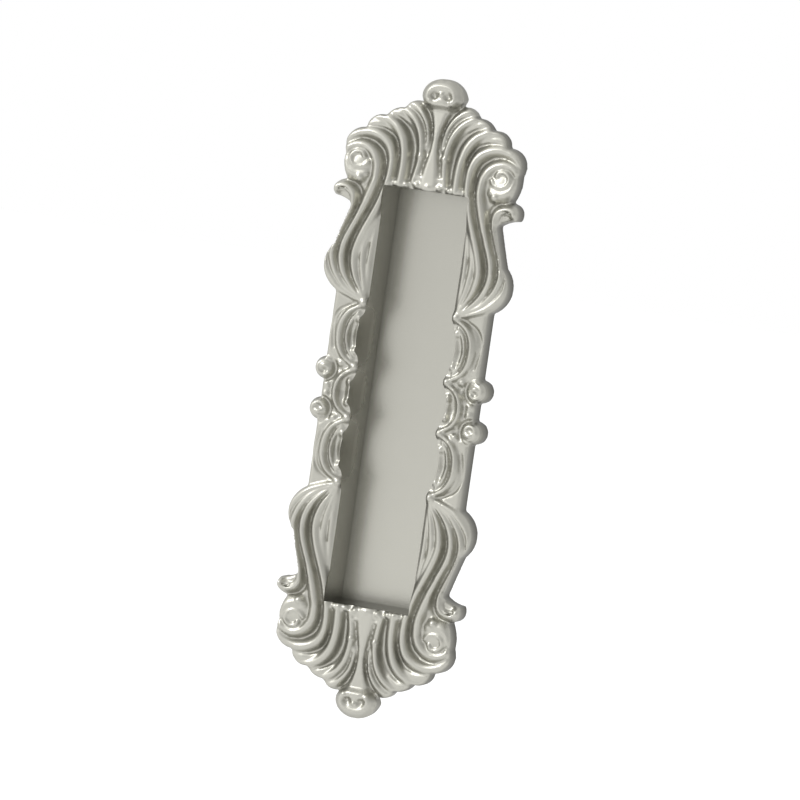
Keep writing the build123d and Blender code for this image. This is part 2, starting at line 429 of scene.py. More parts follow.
FAN_GROOVES = (
    Fold(
        ((5.8, 60.2), (5.7, 65.0), (6.0, 69.6), (7.6, 73.4), (10.4, 75.8), (12.6, 76.6)),
        (1.6, 2.6, 1.6),
        (0.8, 1.4, 0.4),
    ),
    Fold(
        ((9.9, 60.2), (9.8, 64.6), (10.4, 68.6), (12.2, 71.8), (15.0, 73.2)),
        (1.2, 1.8, 1.2),
        (0.7, 1.2, 0.3),
    ),
    Fold(((2.9, 70.4), (3.2, 73.6), (4.4, 76.6), (6.4, 78.9)), (0.8, 1.1, 0.8), (0.3, 0.7, 0.3)),
    Fold(((1.4, 72.0), (1.9, 75.6), (3.2, 78.6), (4.8, 80.6)), (0.9, 1.3, 1.2), (0.3, 0.7, 0.5)),
)

C_SCROLL = (
    Fold(
        ((13.9, 24.3), (17.0, 22.2), (18.7, 19.2), (19.1, 15.8), (18.6, 12.4), (17.0, 9.6), (14.0, 7.6)),
        (1.8, 2.6, 1.8),
        (1.8, 2.0, 1.7),
    ),
    Fold(
        ((14.4, 22.4), (16.2, 19.6), (16.9, 15.9), (16.3, 12.2), (14.6, 9.4)),
        (1.2, 1.8, 1.2),
        (1.0, 1.4, 1.0),
    ),
)
C_GROOVES = (
    Fold(((14.6, 20.6), (15.7, 15.9), (14.8, 11.2)), (1.6, 2.6, 1.6), (0.3, 1.1, 0.3)),
    Fold(
        ((16.5, 24.4), (19.6, 22.4), (21.2, 19.4), (21.0, 15.5), (20.3, 12.0)),
        (1.2, 2.0, 1.6),
        (0.5, 1.1, 0.4),
    ),
)

ALMOND = Fold(
    ((13.4, 6.6), (16.0, 5.0), (17.6, 2.7), (18.1, 0.0), (17.6, -2.7), (16.0, -5.0), (13.4, -6.6)),
    (1.6, 2.1, 1.6),
    (1.7, 2.0, 1.7),
)
ALMOND_HOLLOW = Fold(((15.1, 3.8), (15.9, 0.0), (15.1, -3.8)), (1.4, 3.2, 1.4), (0.4, 1.6, 0.4))

TIP = Fold(
    ((0.0, 86.9), (2.2, 86.5), (3.6, 85.2), (3.9, 83.6), (3.3, 82.4)),
    (3.0, 3.0, 2.6, 2.4),
    (1.5, 1.6, 1.8, 1.9),
)

SIDE_CURL = Fold(
    ((19.8, 8.4), (21.6, 8.5), (23.3, 7.7), (24.2, 6.0), (23.5, 4.2), (21.8, 3.5), (20.6, 4.4)),
    (1.6, 1.9, 1.7),
    (0.6, 0.7, 0.7),
)
SIDE_GROOVE = Fold(
    ((21.4, 9.2), (19.8, 8.2), (18.9, 6.4), (19.1, 4.4), (20.4, 2.8), (22.2, 2.2)),
    (1.2, 1.7, 1.4),
    (0.6, 1.5, 1.0),
)
WAIST = Fold(((19.9, 0.0), (23.6, 0.0)), (3.6, 4.4), (0.4, 0.8))

CUP_CURL = Fold(
    ((1.9, 60.2), (2.3, 61.3), (3.4, 61.6), (4.3, 60.7), (4.0, 59.5), (3.1, 59.2)),
    (1.3, 1.3, 1.4),
    (1.5, 1.6, 1.9),
)
BEADS = (
    Bead((3.5, 67.2), 1.7, 2.5),
    Bead((19.6, 59.2), 2.1, 2.9),
    Bead((20.6, 62.6), 5.6, 2.0),
    Bead((26.0, 55.2), 2.1, 2.6),
    Bead((0.0, 84.7), 1.3, 1.9),
    Bead((3.1, 82.7), 1.5, 2.0),
    Bead((0.0, 84.6), 4.6, 1.1),
    Bead((0.0, 59.2), 1.8, 2.2),
    Bead((3.2, 59.3), 1.5, 2.1),
    Bead((3.2, 60.4), 1.6, 1.2),
    Bead((6.3, 59.0), 1.6, 2.1),
    Bead((9.3, 59.0), 1.6, 2.1),
    Bead((13.4, 25.0), 2.1, 2.6),
    Bead((14.3, 20.6), 1.5, 1.5),
    Bead((14.4, 11.4), 1.5, 1.5),
    Bead((13.4, 7.1), 1.9, 2.3),
    Bead((14.4, 2.9), 1.4, 1.4),
    Bead((17.6, 7.6), 1.4, 1.0),
    Bead((21.9, 6.1), 1.3, 0.9),
    Bead((20.8, 1.0), 1.6, 0.6),
)
PITS = (
    Bead((17.6, 6.0), 1.1, 0.9),
    Bead((21.9, 5.3), 1.3, 1.4),
    Bead((19.5, 0.9), 1.5, 0.8),
    Bead((1.8, 84.2), 1.3, 1.1),
)


@dataclass(frozen=True)
class Bay:
    """A bay in the cup's edge between two knots, which runs out in the cup's wall.

    Attributes:
        middle: Its middle, along the pull.
        half_length: From its middle to its end.
        reach: How far it stands back from the cup's edge at the front of the frame.
    """

    middle: float
    half_length: float
    reach: float


@dataclass
class Relief:
    """The carving of the frame, as a height above the door.

    Attributes:
        cup_half_width: From the middle of the pull to the cup's edge across.
        cup_half_length: The same along the pull.
        side: Width of the frame beside the cup.
        fan: Length of the slope at the end.
        rim_height: Height of the ground beside the cup.
        side_rise: How far the ground rises to the outer edge of the side.
        end_fall: How far it falls to the foot of the tip.
        sink: How far the grooves lie under the ground.
        strength: Share of their drawn height that the forms have after casting and polishing.
        boss: Middle of a side bead's ball, across and along the pull.
        boss_radius: Radius of the ball.
        boss_height: Height of its middle.
        tip: Middle of the tip, along the pull.
        tip_half_width: From its middle to its side.
        tip_half_depth: From its middle to its top.
        tip_height: Height of its middle.
        tip_fall: How far its front falls from there to its edge.
        tip_foot: Where its front starts to rise out of the fan, along the pull.
        tip_rise: How far it takes to rise.
    """

    cup_half_width: float = 12.4
    cup_half_length: float = 58.0
    side: float = 9.8
    fan: float = 25.0
    rim_height: float = 6.4
    side_rise: float = 0.6
    end_fall: float = 2.6
    sink: float = 0.1
    strength: float = 0.77
    boss: tuple[float, float] = (22.2, 5.7)
    boss_radius: float = 3.2
    boss_height: float = 5.0
    tip: float = 84.2
    tip_half_width: float = 6.2
    tip_half_depth: float = 4.8
    tip_height: float = 6.0
    tip_fall: float = 0.7
    tip_foot: float = 80.2
    tip_rise: float = 1.6

    def ground(self, places: np.ndarray) -> np.ndarray:
        """Gives the height of the plain slope that the carving stands on.

        Args:
            places: Points of the quarter, one in each row.

        Returns:
            Height at each point.
        """
        out = np.clip((places[:, 0] - self.cup_half_width) / self.side, 0.0, 1.0)
        past = np.clip((places[:, 1] - self.cup_half_length) / self.fan, 0.0, 1.0)
        slope = self.rim_height + out * (1.0 - past) * self.side_rise - past * self.end_fall
        out = self.from_tip(places)
        dome = self.tip_height - self.tip_fall * out**3
        foot = np.clip((places[:, 1] - self.tip_foot) / self.tip_rise, 0.0, 1.0)
        return np.where(out < 1.0, slope + foot * np.maximum(dome - slope, 0.0), slope)

    def from_tip(self, places: np.ndarray) -> np.ndarray:
        """Measures how far out in the tip's oval a point lies, where 1 is its edge.

        Args:
            places: Points of the quarter, one in each row.

        Returns:
            Share of the way out at each point.
        """
        along_pull = (places[:, 1] - self.tip) / self.tip_half_depth
        return np.hypot(places[:, 0] / self.tip_half_width, along_pull)

    def height(self, places: np.ndarray) -> np.ndarray:
        """Gives the height of the carved surface.

        Args:
            places: Points of the quarter, one in each row.

        Returns:
            Height at each point.
        """
        ground = self.ground(places)
        across = np.linalg.norm(places - np.array(self.boss), axis=1)
        ball = self.boss_height + np.sqrt(np.clip(self.boss_radius**2 - across**2, 0.0, None))
        ground = np.where(across < self.boss_radius, np.maximum(ground, ball), ground)
        rise = self.strength * self.rise(places)
        return ground + rise - self.sink * np.exp(-rise) - self.strength * self.fall(places)

    def rise(self, places: np.ndarray) -> np.ndarray:
        """Gives how far folds and beads stand above the ground.

        Args:
            places: Points of the quarter, one in each row.

        Returns:
            Height above the ground at each point.
        """
        rise = np.zeros(len(places))
        forms = (TONGUE, *FAN, *VOLUTE, *STRANDS, *C_SCROLL, ALMOND, TIP, SIDE_CURL, CUP_CURL, *BEADS)
        for form in forms:
            rise = np.maximum(rise, form.rise(places))
        return rise

    def fall(self, places: np.ndarray) -> np.ndarray:
        """Gives how far grooves and hollows are cut in.

        Args:
            places: Points of the quarter, one in each row.

        Returns:
            Depth at each point.
        """
        fall = np.zeros(len(places))
        cuts = (*STRAND_GROOVES, *FAN_GROOVES, *C_GROOVES, ALMOND_HOLLOW, SIDE_GROOVE, WAIST, *PITS)
        for form in cuts:
            fall = np.maximum(fall, form.rise(places))
        return fall


@dataclass
class Cup:
    """The finger cup: a plain deep recess with sharp corners.

    Attributes:
        half_width: From the middle of the pull to the cup's edge across.
        half_length: The same along the pull.
        depth: From the door's face to the cup's floor.
        draft: Slope of its walls, in degrees.
        above: How far the cutter stands out of the door's face, clear of the frame.
        margin: How far the filling that is cut away reaches into the walls.
        near_corner: Distances from a corner at which the cup's mesh has a line, for its shading.
        up_wall: Heights above the floor of the other lines round its walls.
        front_lines: Depths of the lines from the frame's front to the door's face, under 0.
        pitch: Distance between the lines elsewhere.
        bays: Bays in its long edges.
        bay_foot: Height above the door at which a bay starts to leave the cup's wall.
        bay_front: Height at which a bay has its full reach.
        bay_inside: How far a bay's cutter stands out into the cup.
        bay_lead: How far out in the cup a bay's cutter starts, so that it enters the wall at a slant.
        bay_sides: Sides of a bay's cutter.
        bay_rings: Cuts along the height of a bay's cutter.
    """

    half_width: float = 12.4
    half_length: float = 58.0
    depth: float = 7.6
    draft: float = 1.5
    above: float = 12.0
    margin: float = 0.8
    near_corner: tuple[float, ...] = (0.3, 0.7, 1.3, 2.2, 3.4)
    up_wall: tuple[float, ...] = (5.0, 6.4)
    front_lines: tuple[float, ...] = (-6.0, -4.0, -2.0, 0.0)
    pitch: float = 4.0
    bays: tuple[Bay, ...] = (Bay(15.9, 8.4, 2.0), Bay(0.0, 6.6, 1.8), Bay(-15.9, 8.4, 2.0))
    bay_foot: float = -4.6
    bay_front: float = 6.2
    bay_inside: float = 1.0
    bay_lead: float = 0.08
    bay_sides: int = 64
    bay_rings: int = 19

    def lines(self, half: float) -> list[float]:
        """Spaces the lines of the mesh from side to side, closer near the corners.

        Args:
            half: Half of the width to fill.

        Returns:
            Places of the lines, from edge to edge.
        """
        middle = half - self.near_corner[-1]
        steps = max(2, round(2 * middle / self.pitch))
        inner = [-middle + 2 * middle * i / steps for i in range(1, steps)]
        outer = [half - gap for gap in (0.0, *self.near_corner)]
        return [-place for place in outer] + inner + outer[::-1]

    def levels(self) -> list[float]:
        """Lists the depths of the mesh's lines, from out in front of the frame to the floor."""
        walls = [self.depth - gap for gap in (0.0, *self.near_corner, *self.up_wall)]
        return [-self.above, *self.front_lines, *walls[::-1]]

    def inset(self, level: np.ndarray | float) -> np.ndarray | float:
        """Gives how far the draft brings the walls in at a depth under the door's face."""
        return np.maximum(level, 0.0) * math.tan(math.radians(self.draft))

    def cutter(self) -> bpy.types.Object:
        """Builds the block that the cup is cut with, with the lines for its shading.

        Returns:
            A new object in the scene.
        """
        shape = bmesh.new()
        sides = (self.lines(self.half_width), self.levels(), self.lines(self.half_length))
        low = Vector([places[0] for places in sides])
        high = Vector([places[-1] for places in sides])
        self.add_block(shape, low, high)
        for axis, places in enumerate(sides):
            across = Matrix.Identity(3)[axis]
            for place in places[1:-1]:
                parts = [*shape.verts, *shape.edges, *shape.faces]
                bmesh.ops.bisect_plane(shape, geom=parts, plane_co=across * place, plane_no=across)
        for vert in shape.verts:
            inset = self.inset(vert.co.y)
            vert.co.x *= 1.0 - inset / self.half_width
            vert.co.z *= 1.0 - inset / self.half_length
            vert.co *= MM
        return self.as_object(shape, "cup_cutter")

    def bay_cutter(self) -> bpy.types.Object:
        """Builds the scoops that the bays are cut with.

        Returns:
            A new object in the scene.
        """
        shape = bmesh.new()
        mesh = bpy.data.meshes.new("scoop")
        for bay in self.bays:
            for side in (-1, 1):
                block = bmesh.new()
                bmesh.ops.create_cone(
                    block, cap_ends=True, segments=self.bay_sides, radius1=1.0, radius2=1.0, depth=2.0
                )
                posts = [edge for edge in block.edges if edge.verts[0].co.z * edge.verts[1].co.z < 0.0]
                bmesh.ops.subdivide_edges(block, edges=posts, cuts=self.bay_rings)
                for vert in block.verts:
                    vert.co = Vector(self.scoop(bay, side, vert.co)) * MM
                block.to_mesh(mesh)
                block.free()
                shape.from_mesh(mesh)
        bpy.data.meshes.remove(mesh)
        return self.as_object(shape, "bay_cutter")

    def scoop(self, bay: Bay, side: int, place: Vector) -> tuple[float, float, float]:
        """Moves a point of a plain cylinder to its place on a bay's cutter.

        Args:
            bay: The bay.
            side: 1 for the cup's right edge and -1 for its left.
            place: Point of a cylinder that is 1 in radius and 2 in height.

        Returns:
            Point of the cutter in millimetres.
        """
        height = self.bay_foot + (self.above - self.bay_foot) * (place.z + 1.0) / 2.0
        wall = self.half_width - self.inset(-height)
        rise = (height - self.bay_foot) / (self.bay_front - self.bay_foot)
        reach = bay.reach * rise**2 if place.x > 0.0 else -self.bay_inside
        out = reach * math.cos(math.pi / 2 * place.y) - self.bay_lead
        return side * (wall + out), -height, bay.middle + bay.half_length * place.y

    def as_object(self, shape: bmesh.types.BMesh, name: str) -> bpy.types.Object:
        """Makes an object of a finished shape, with its faces pointing out.

        Args:
            shape: Shape to use up.
            name: Name of the object.

        Returns:
            A new object in the scene.
        """
        bmesh.ops.recalc_face_normals(shape, faces=shape.faces)
        mesh = bpy.data.meshes.new(name)
        shape.to_mesh(mesh)
        shape.free()
        made = bpy.data.objects.new(name, mesh)
        bpy.context.scene.collection.objects.link(made)
        return made

    def fill(self, shape: bmesh.types.BMesh, front: float) -> None:
        """Adds a block that fills the cup up to the front of the frame.

        Args:
            shape: Mesh to add to.
            front: Height of the frame beside the cup.
        """
        across = self.half_width + self.margin
        along_pull = self.half_length + self.margin
        low = Vector((-across, -front, -along_pull))
        high = Vector((across, self.depth + self.margin, along_pull))
        self.add_block(shape, low * MM, high * MM)

    def add_block(self, shape: bmesh.types.BMesh, low: Vector, high: Vector) -> None:
        """Adds a plain block.

        Args:
            shape: Mesh to add to.
            low: Its lowest corner.
            high: Its highest corner.
        """
        place = Matrix.Translation((low + high) / 2) @ Matrix.Diagonal((*(high - low), 1.0))
        bmesh.ops.create_cube(shape, size=1.0, matrix=place)

    def gaps(self, points: np.ndarray) -> tuple[np.ndarray, np.ndarray]:
        """Measures the way from points to the cup's walls and to its floor.

        Args:
            points: Points of the pull in millimetres, one in each row.

        Returns:
            Distance inside the nearest wall, and height above the floor.
        """
        inset = self.inset(points[:, 1])
        across = self.half_width - inset - np.abs(points[:, 0])
        along_pull = self.half_length - inset - np.abs(points[:, 2])
        return np.minimum(across, along_pull), self.depth - points[:, 1]


@dataclass
class Casting:
    """The whole pull: the CAD casting, carved and softened as a real one.

    Attributes:
        finish: Finish of the metal.
        relief: Carving of the frame.
        cup: The finger cup.
        voxel: Size of the mesh that the carving is cut in, in metres.
        relax: Share of the way to its neighbours that one pass of softening moves a point.
        smooth_steps: Passes that soften the carved surface.
        front_facing: How far out of the door a point of the front faces at least, where 1 is straight.
        lift_facing: How far out a point faces where the carving starts to lift it, and where it lifts
            it in full.
        side_facing: How far out or in a point of an outer side faces at most.
        side_heights: Heights between which the outer sides are looked for.
        edge_round: Rounding of the outer edge, in millimetres.
        rim_round: Rounding of the cup's edge, in millimetres.
        groove_shade_tone: How dark the painted shade in the deepest groove is.
        cup_shade_tone: How dark the painted shade is in the cup's corners, deep on its side walls and in
            its bays.
        end_shade_tone: How dark the painted shade on the cup's end walls is.
        side_shade_tone: How dark the painted shade on the outer sides is at the door.
        tip_shade_share: Share of that painted shade at the tips.
        light_rise: Height above the ground from which a form has no painted groove shade.
        dark_fall: Share of that height under the ground at which that painted shade is full.
        shade_facing: How far out a point with that painted shade faces at least.
        steep_facing: How far out or in a face looks where it is fully steep, and where it no longer is.
        side_fade: Power by which the painted shade on the outer sides falls off upwards.
        corner_width: Width of the painted dark line of shade along the floor's long edges.
        bay_margin: How far past a bay's reach a point still counts as in the bay.
        touch: Distance up to which a point counts as on the door's face or on the cup's.
        sharp_angle: Angle in degrees from which an edge stays sharp.
        triangles: Most triangles that the piece may have.
    """

    finish: SatinNickel = field(default_factory=SatinNickel)
    relief: Relief = field(default_factory=Relief)
    cup: Cup = field(default_factory=Cup)
    voxel: float = 0.3 * MM
    rough_voxel: float = 0.5 * MM
    relax: float = 0.5
    smooth_steps: int = 7
    front_facing: float = -0.3
    lift_facing: tuple[float, float] = (0.3, 0.7)
    side_facing: float = 0.5
    side_heights: tuple[float, float] = (1.5, 5.0)
    edge_round: float = 1.1
    rim_round: float = 0.35
    groove_shade_tone: float = 0.04
    cup_shade_tone: float = 0.38
    end_shade_tone: float = 0.6
    side_shade_tone: float = 1.0
    tip_shade_share: float = 0.5
    light_rise: float = 1.2
    dark_fall: float = 0.6
    shade_facing: float = 0.2
    steep_facing: tuple[float, float] = (0.35, 0.75)
    side_fade: float = 0.4
    corner_width: float = 0.7
    bay_margin: float = 0.3
    touch: float = 0.05
    sharp_angle: float = 50.0
    triangles: int = 185000

    def build(self) -> bpy.types.Object:
        """Builds and dresses the casting.

        Returns:
            The finished object, which stands for the CAD node.
        """
        piece = self.plain_copy()
        self.remesh(piece)
        self.carve(piece)
        self.finish_mesh(piece)
        self.cut_cup(piece)
        self.paint_shade(piece.data)
        piece.data.materials.clear()
        piece.data.materials.append(self.finish.build())
        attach(piece, BODY)
        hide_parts(NODE)
        return piece

    def plain_copy(self) -> bpy.types.Object:
        """Copies the CAD node with its cup filled and its ridges pressed down to the plain slope.

        Returns:
            A new object in the scene.
        """
        shape = bmesh.new()
        shape.from_mesh(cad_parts[NODE].data)
        bmesh.ops.remove_doubles(shape, verts=shape.verts, dist=MERGE_GAP)
        places = np.array([(abs(v.co.x), abs(v.co.z)) for v in shape.verts]) / MM
        for vert, height in zip(shape.verts, self.relief.ground(places)):
            vert.co.y = max(vert.co.y, -height * MM)
        self.cup.fill(shape, self.relief.rim_height)
        mesh = bpy.data.meshes.new("casting")
        shape.to_mesh(mesh)
        shape.free()
        piece = bpy.data.objects.new("casting", mesh)
        bpy.context.scene.collection.objects.link(piece)
        return piece

    def remesh(self, piece: bpy.types.Object) -> None:
        """Gives a mesh an even, fine grain.

        Args:
            piece: Object whose mesh is replaced.
        """
        melt = piece.modifiers.new("melt", "REMESH")
        melt.mode = "VOXEL"
        melt.voxel_size = self.voxel
        relax = piece.modifiers.new("relax", "SMOOTH")
        relax.factor = self.relax
        relax.iterations = 1
        self.apply(piece)

    def carve(self, piece: bpy.types.Object) -> None:
        """Lifts the front of the frame to the carved surface, with rounded edges.

        Args:
            piece: Object whose mesh is carved.
        """
        mesh = piece.data
        points, out = self.points_and_facing(mesh)
        height = -points[:, 1]
        places = np.abs(points[:, (0, 2)])
        lowest, highest = self.side_heights
        front = (out > self.front_facing) & (height > lowest)
        side = (np.abs(out) < self.side_facing) & (height > lowest) & (height < highest)
        gap = self.to_nearest(places[front], places[side])
        walls, _ = self.cup.gaps(points[front])
        carved = self.relief.height(places[front])
        carved -= roll(gap, self.edge_round) + roll(-walls, self.rim_round)
        begin, full = self.lift_facing
        weight = np.clip((out[front] - begin) / (full - begin), 0.0, 1.0)
        plain = height[front]
        points[front, 1] = -np.minimum(carved, plain + weight * np.maximum(carved - plain, 0.0))
        low, high = [np.array(corner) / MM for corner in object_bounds()]
        points = np.clip(points, low, high)
        mesh.vertices.foreach_set("co", (points * MM).ravel())
        mesh.update()

    def points_and_facing(self, mesh: bpy.types.Mesh) -> tuple[np.ndarray, np.ndarray]:
        """Reads a mesh's points, and how far each faces out of the door.

        Args:
            mesh: Mesh to read.

        Returns:
            Points in millimetres, and 1 for one that faces straight out or -1 for one that faces in.
        """
        points = np.empty(len(mesh.vertices) * 3)
        mesh.vertices.foreach_get("co", points)
        facing = np.empty(len(mesh.vertices) * 3)
        mesh.vertices.foreach_get("normal", facing)
        return points.reshape(-1, 3) / MM, -facing.reshape(-1, 3)[:, 1]

    def to_nearest(self, places: np.ndarray, others: np.ndarray) -> np.ndarray:
        """Measures the way from each place to the nearest of some others.

        Args:
            places: Points of the quarter, one in each row.
            others: Points of the quarter to look for.

        Returns:
            Distance at each place.
        """
        others = np.unique(np.round(others, decimals=1), axis=0)
        tree = KDTree(len(others))
        for index, (across, along_pull) in enumerate(others):
            tree.insert((across, along_pull, 0.0), index)
        tree.balance()
        return np.array([tree.find((across, along_pull, 0.0))[2] for across, along_pull in places])

    def finish_mesh(self, piece: bpy.types.Object) -> None:
        """Softens the carving and thins the mesh to its budget.

        Args:
            piece: Object whose mesh is replaced.
        """
        relax = piece.modifiers.new("relax", "SMOOTH")
        relax.factor = self.relax
        relax.iterations = self.smooth_steps
        self.apply(piece)
        count = sum(len(face.vertices) - 2 for face in piece.data.polygons)
        if count > self.triangles:
            thin = piece.modifiers.new("thin", "DECIMATE")
            thin.ratio = self.triangles / count
            self.apply(piece)

    def cut_cup(self, piece: bpy.types.Object) -> None:
        """Cuts the cup and its bays out of the filled casting, with flat walls and sharp corners.

        Args:
            piece: Object whose mesh is cut.
        """
        for block in (self.cup.cutter(), self.cup.bay_cutter()):
            cut = piece.modifiers.new("cup", "BOOLEAN")
            cut.operation = "DIFFERENCE"
            cut.solver = "EXACT"
            cut.object = block
            self.apply(piece)
            bpy.data.objects.remove(block)
        for face in piece.data.polygons:
            face.use_smooth = True
        piece.data.set_sharp_from_angle(angle=math.radians(self.sharp_angle))

    def paint_shade(self, mesh: bpy.types.Mesh) -> None:
        """Marks the painted shade at each corner of a face, for how deep in a groove, in the cup or down
        an outer side it lies.

        Args:
            mesh: Mesh that gets the attributes.
        """
        points, out = self.points_and_facing(mesh)
        groove = self.groove_shade(points, out)
        corners, out = self.corners_and_facing(mesh)
        points = points[corners]
        steepest, flattest = self.steep_facing
        steep = np.clip((flattest - np.abs(out)) / (flattest - steepest), 0.0, 1.0)
        wall, floor = self.cup.gaps(points)
        side = steep * self.side_shade(points, wall, floor)
        painted_shade = np.where(points[:, 1] < self.touch, np.maximum(groove[corners], side), 0.0)
        inside = (wall > -self.touch) & (floor > -self.touch)
        painted_shade = np.where(inside, self.cup_shade(points, steep, floor), painted_shade)
        polished = inside & ((steep > 0.5) | (floor < self.touch))
        # The painted shade is stored for the colour; the polished mark only sets the roughness.
        for name, values in ((PAINTED_SHADE, np.clip(painted_shade, 0.0, 1.0)), (IN_CUP, polished.astype(float))):
            mesh.attributes.new(name, "FLOAT", "CORNER").data.foreach_set("value", values)

    def groove_shade(self, points: np.ndarray, out: np.ndarray) -> np.ndarray:
        """Gives how dark the shade painted on the front is, for its height above or under the ground.

        Args:
            points: Points in millimetres, one in each row.
            out: How far each faces out of the door.

        Returns:
            Painted shade at each point.
        """
        places = np.abs(points[:, (0, 2)])
        # Painted shade: lower forms and grooves get darker.
        up = (self.relief.rise(places) - self.relief.fall(places)) / self.light_rise
        dark = (1.0 - np.clip(up, -self.dark_fall, 1.0)) / (1.0 + self.dark_fall)
        return np.where(out > self.shade_facing, self.groove_shade_tone * dark, 0.0)

    def side_shade(self, points: np.ndarray, wall: np.ndarray, floor: np.ndarray) -> np.ndarray:
        """Gives how dark the shade painted on a steep face is, on an outer side or in a bay.

        Args:
            points: Points in millimetres, one in each row.
            wall: Distance of each inside the cup's nearest wall.
            floor: Height of each above the cup's floor.

        Returns:
            Painted shade at each point.
        """
        along_pull = np.abs(points[:, 2])
        low = np.clip(1.0 + points[:, 1] / self.relief.rim_height, 0.0, 1.0)
        # Painted shade: the outer sides get darker towards the door.
        side = self.side_shade_tone * low**self.side_fade
        side = np.where(along_pull > self.relief.tip_foot, self.tip_shade_share * side, side)
        reach = self.cup.bays[0].reach + self.bay_margin
        in_bay = (wall > -reach) & (along_pull < self.cup.half_length)
        return np.where(in_bay, self.cup_shade_tone * self.depth_share(floor), side)

    def cup_shade(self, points: np.ndarray, steep: np.ndarray, floor: np.ndarray) -> np.ndarray:
        """Gives how dark the shade painted in the cup is, on its walls and along its floor's long edges.

        Args:
            points: Points in millimetres, one in each row.
            steep: Share to which each belongs to a steep face.
            floor: Height of each above the cup's floor.

        Returns:
            Painted shade at each point.
        """
        to_side = self.cup.half_width - np.abs(points[:, 0])
        to_end = self.cup.half_length - np.abs(points[:, 2])
        # Painted shade on the cup's walls, darker deeper down, and a painted dark line along the floor's
        # long edges.
        on_wall = np.where(to_end < to_side, self.end_shade_tone, self.cup_shade_tone * self.depth_share(floor))
        corner = self.cup_shade_tone * np.exp(-np.maximum(to_side, 0.0) / self.corner_width)
        return np.maximum(steep * on_wall, np.where(floor < self.touch, corner, 0.0))

    def depth_share(self, floor: np.ndarray) -> np.ndarray:
        """Gives how deep in the cup a height above its floor is, from 0 at the rim to 1."""
        return np.clip(1.0 - floor / (self.cup.depth + self.relief.rim_height), 0.0, 1.0)

    def corners_and_facing(self, mesh: bpy.types.Mesh) -> tuple[np.ndarray, np.ndarray]:
        """Reads the point at each corner of each face, and how far that face faces out of the door.

        Args:
            mesh: Mesh to read.

        Returns:
            Index of each corner's point, and 1 for a face that faces straight out or -1 for one that
            faces in.
        """
        corners = np.empty(len(mesh.loops), dtype=np.int32)
        mesh.loops.foreach_get("vertex_index", corners)
        sizes = np.empty(len(mesh.polygons), dtype=np.int32)
        mesh.polygons.foreach_get("loop_total", sizes)
        facing = np.empty(len(mesh.polygons) * 3)
        mesh.polygons.foreach_get("normal", facing)
        return corners, np.repeat(-facing.reshape(-1, 3)[:, 1], sizes)

    def apply(self, piece: bpy.types.Object) -> None:
        """Bakes the modifiers of an object into its mesh.

        Args:
            piece: Object to bake.
        """
        graph = bpy.context.evaluated_depsgraph_get()
        baked = bpy.data.meshes.new_from_object(piece.evaluated_get(graph))
        piece.modifiers.clear()
        piece.data = baked


